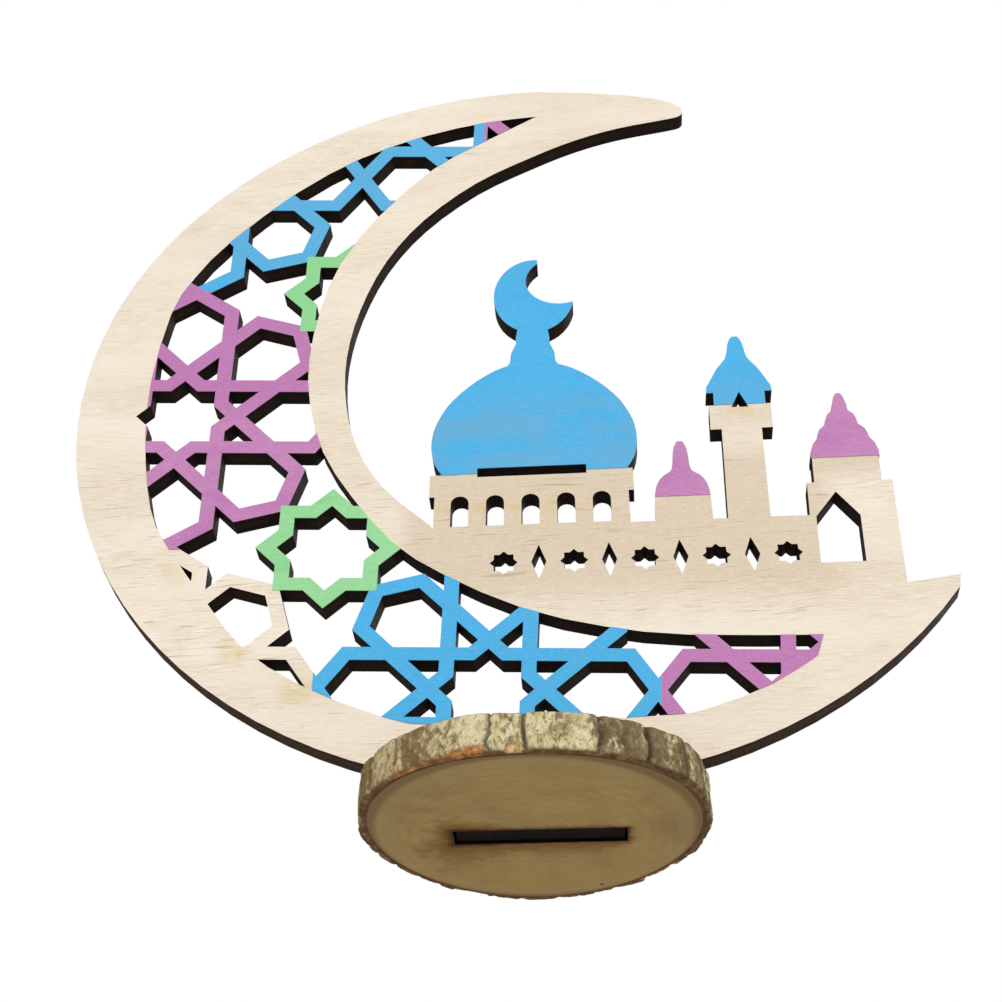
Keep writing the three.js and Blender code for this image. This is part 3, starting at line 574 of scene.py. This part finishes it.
def crack_depth(degrees, z, radius):
    """How deep the deepest crack is at an angle and height, in mm."""
    deepest = 0.0
    for index, (at, width, depth) in enumerate(CRACKS):
        wander = 0.55 * noise.noise(Vector((index * 7.3, 0.0, z * 0.42)))
        wander += 0.16 * noise.noise(Vector((index * 3.1, 5.0, z * 1.9)))
        away = turn_from(degrees, at) * math.pi / 180 * radius + wander
        if abs(away) < 3 * width:
            mouth = width * (0.8 + 0.5 * noise.noise(Vector((index * 1.7, 9.0, z * 0.8))))
            deepest = max(deepest, depth * math.exp(-(away / mouth) ** 2))
    return deepest


def stripped_share(degrees, z, place):
    """1 where the outer bark has come off the lower rim, 0 where it is whole."""
    bare = 0.0
    for at, reach, tall in BARE:
        share = 1 - (turn_from(degrees, at) / reach) ** 2
        if share > 0:
            edge = tall * math.sqrt(share) * (1 + 0.5 * noise.noise(place * 0.9))
            edge += 0.12 * noise.noise(place * 3)
            if edge > 0.05:
                bare = max(bare, 1 - smooth_step((z - edge + 0.14) / 0.28))
    return bare


def dull_and_shade_share(degrees, place):
    """How dull the bark is at an angle, with the painted shade at the sides included."""
    dull_and_shade = 0.0
    for at, reach, share in DULL_AND_SHADE:
        away = abs(turn_from(degrees, at)) / reach + 0.45 * noise.noise(place * 0.5 + Vector((2, 8, 4)))
        dull_and_shade = max(dull_and_shade, share * math.exp(-away ** 2))
    return dull_and_shade


def bark_surface(degrees, z, corners, inner):
    """Radius of the bark's outer face at an angle and height, with how cracked, bare and dull it is; the dull
    share holds painted shade too.
    """
    angle = math.radians(degrees)
    limit = chord_radius(corners, degrees)
    place = Vector((limit * math.cos(angle), limit * math.sin(angle), z))
    crack = crack_depth(degrees, z, limit)
    plates = 0.1 + 0.16 * noise.noise(place * 0.33 + Vector((3, 1, 7)))
    lumps = 0.09 * noise.noise(place * 0.95 + Vector((5, 5, 5)))
    crust = 0.06 * noise.fractal(place * 2.3, 0.8, 2.1, 3)
    bare = stripped_share(degrees, z, place)
    inset = max(plates + lumps + crust, 0.0) + crack + BARE_INSET * bare
    for near in (z, SLICE_TALL - z):
        corner = 0.42 + 0.2 * noise.noise(place * 0.6 + Vector((0, 0, 3)))
        if near < corner:
            inset += 0.3 * (1 - near / corner) ** 2
    thinnest = 0.12
    deep_crack = 0.42
    radius = max(limit - SKIN - inset, inner + thinnest)
    return radius, min(crack / deep_crack, 1.0), bare, dull_and_shade_share(degrees, place)


def bark_section(degrees, corners, inner_corners):
    """The bark's cross-section at an angle: radius, height, crack, bare, dull with its painted shade, and rim
    at each point.
    """
    angle = math.radians(degrees)
    inner = chord_radius(inner_corners, degrees) + SKIN
    bottom, _, bottom_bare, bottom_dull_and_shade = bark_surface(degrees, 0.0, corners, inner)
    top, _, _, top_dull_and_shade = bark_surface(degrees, SLICE_TALL, corners, inner)

    def rim_noise(radius):
        return noise.noise(Vector((radius * math.cos(angle), radius * math.sin(angle), 1)))

    section = []
    for row in range(RIM_ROWS):
        share = row / RIM_ROWS
        radius = inner + (bottom - inner) * share
        lift = RIM_RELIEF * share * (1 + rim_noise(radius))
        section.append((radius, lift, 0.0, bottom_bare, bottom_dull_and_shade, 1.0))
    for row in range(BARK_ROWS + 1):
        z = SLICE_TALL * row / BARK_ROWS
        radius, cracked, bare, dull_and_shade = bark_surface(degrees, z, corners, inner)
        sawn = max(1 - z / RIM_TALL, 1 - (SLICE_TALL - z) / RIM_TALL, 0.0)
        rise = RIM_RELIEF + RIM_RELIEF * rim_noise(radius)
        section.append((radius, min(max(z, rise), SLICE_TALL - rise), cracked, bare, dull_and_shade, sawn))
    for row in range(RIM_ROWS - 1, -1, -1):
        share = row / RIM_ROWS
        radius = inner + (top - inner) * share
        section.append((radius, SLICE_TALL - RIM_RELIEF * share, 0.0, 0.0, top_dull_and_shade, 1.0))
    return section


def bark_ring():
    """The slice's bark, with its cracks, crust and stripped stretches, in place of the plain CAD ring."""
    corners = outline_of("slice_bark")
    inner_corners = outline_of("slice_inner_bark")
    points = []
    marks = {"crack": [], "bare": [], "dull_and_shade": [], "rim": []}
    for step in range(BARK_STEPS):
        degrees = step * 360 / BARK_STEPS
        angle = math.radians(degrees)
        for radius, z, *values in bark_section(degrees, corners, inner_corners):
            x = SLICE_X + radius * math.cos(angle)
            y = SLICE_Y + radius * math.sin(angle)
            points.append((x * MM, y * MM, z * MM))
            for mark, value in zip(marks.values(), values):
                mark.append(value)
    around = len(points) // BARK_STEPS
    faces = []
    for step in range(BARK_STEPS):
        here = step * around
        after = (step + 1) % BARK_STEPS * around
        for row in range(around):
            above = (row + 1) % around
            faces.append((here + row, after + row, after + above, here + above))
    mesh = bpy.data.meshes.new("bark")
    mesh.from_pydata(points, [], faces)
    for name, values in marks.items():
        mesh.attributes.new(name, "FLOAT", "POINT").data.foreach_set("value", values)
    mesh.polygons.foreach_set("use_smooth", [True] * len(mesh.polygons))
    mesh.materials.append(BARK)
    mesh.update()
    piece = bpy.data.objects.new("bark", mesh)
    scene.collection.objects.link(piece)
    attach(piece, "slice")
    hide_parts("slice_bark")


bark_ring()


def floor():
    """A pale floor that the camera sees from above only, so that it hides nothing from below."""
    side = 2.5
    height = -0.0003
    mesh = bpy.data.meshes.new("floor")
    corners = [(-side, -side, height), (side, -side, height), (side, side, height), (-side, side, height)]
    mesh.from_pydata(corners, [], [(0, 1, 2, 3)])
    piece = bpy.data.objects.new("floor", mesh)
    scene.collection.objects.link(piece)
    material = bpy.data.materials.new("pale_floor")
    material.use_nodes = True
    tree = material.node_tree
    pale = tree.nodes["Principled BSDF"]
    pale.inputs["Base Color"].default_value = srgb(*TONES["floor"])
    pale.inputs["Roughness"].default_value = 0.9
    side_seen = tree.nodes.new("ShaderNodeNewGeometry")
    clear = tree.nodes.new("ShaderNodeBsdfTransparent")
    choice = tree.nodes.new("ShaderNodeMixShader")
    tree.links.new(side_seen.outputs["Backfacing"], choice.inputs[0])
    tree.links.new(pale.outputs[0], choice.inputs[1])
    tree.links.new(clear.outputs[0], choice.inputs[2])
    tree.links.new(choice.outputs[0], tree.nodes["Material Output"].inputs["Surface"])
    mesh.materials.append(material)
    for ray in ("diffuse", "glossy", "transmission", "volume_scatter", "shadow"):
        setattr(piece, "visible_" + ray, False)


floor()


def world():
    """An even white studio: white where the camera looks past the object, a softer fill from all sides."""
    surroundings = bpy.data.worlds.new("studio")
    scene.world = surroundings
    surroundings.use_nodes = True
    tree = surroundings.node_tree
    tree.nodes.clear()
    fill = tree.nodes.new("ShaderNodeBackground")
    fill.inputs["Color"].default_value = (1.0, 0.995, 0.985, 1.0)
    fill.inputs["Strength"].default_value = 0.62
    seen = tree.nodes.new("ShaderNodeBackground")
    seen.inputs["Color"].default_value = (1.0, 1.0, 1.0, 1.0)
    rays = tree.nodes.new("ShaderNodeLightPath")
    choice = tree.nodes.new("ShaderNodeMixShader")
    output = tree.nodes.new("ShaderNodeOutputWorld")
    tree.links.new(rays.outputs["Is Camera Ray"], choice.inputs[0])
    tree.links.new(fill.outputs[0], choice.inputs[1])
    tree.links.new(seen.outputs[0], choice.inputs[2])
    tree.links.new(choice.outputs[0], output.inputs["Surface"])


LIT_POINT = Vector((0, 0, 0.07))


def area_light(name, place, size, power):
    """A square soft light aimed at the object. It stands beyond the floor, so that it lights all of it."""
    data = bpy.data.lights.new(name, "AREA")
    data.shape = "SQUARE"
    data.size = size
    data.energy = power
    light = bpy.data.objects.new(name, data)
    scene.collection.objects.link(light)
    light.location = place
    light.visible_camera = False
    light.rotation_mode = "QUATERNION"
    light.rotation_quaternion = (LIT_POINT - light.location).to_track_quat("-Z", "Y")


world()
area_light("key", place=(0.5, -3.17, 1.12), size=2.6, power=72.0)
area_light("back_fill", place=(1.25, 2.85, 1.6), size=2.5, power=53.0)
scene.view_settings.view_transform = "Standard"


def camera():
    """The photograph's view: from in front, low down, looking up. The lens's axis meets the photograph above
    its middle, which is what the shift is for."""
    data = bpy.data.cameras.new("camera")
    data.lens = 52.92
    data.sensor_width = 36.0
    data.shift_x = 0.0177
    data.shift_y = -0.1497
    data.clip_start = 0.005
    data.clip_end = 20.0
    piece = bpy.data.objects.new("camera", data)
    scene.collection.objects.link(piece)
    place = (0.015921, -0.166329, -0.082761)
    back = Vector((0.070151, -0.710382, -0.700312)).normalized()
    right = Vector((0.996443, 0.082764, 0.015861)).normalized()
    up = back.cross(right)
    turn = Matrix((right, up, back)).transposed()
    piece.matrix_world = Matrix.Translation(place) @ turn.to_4x4()
    scene.camera = piece


camera()
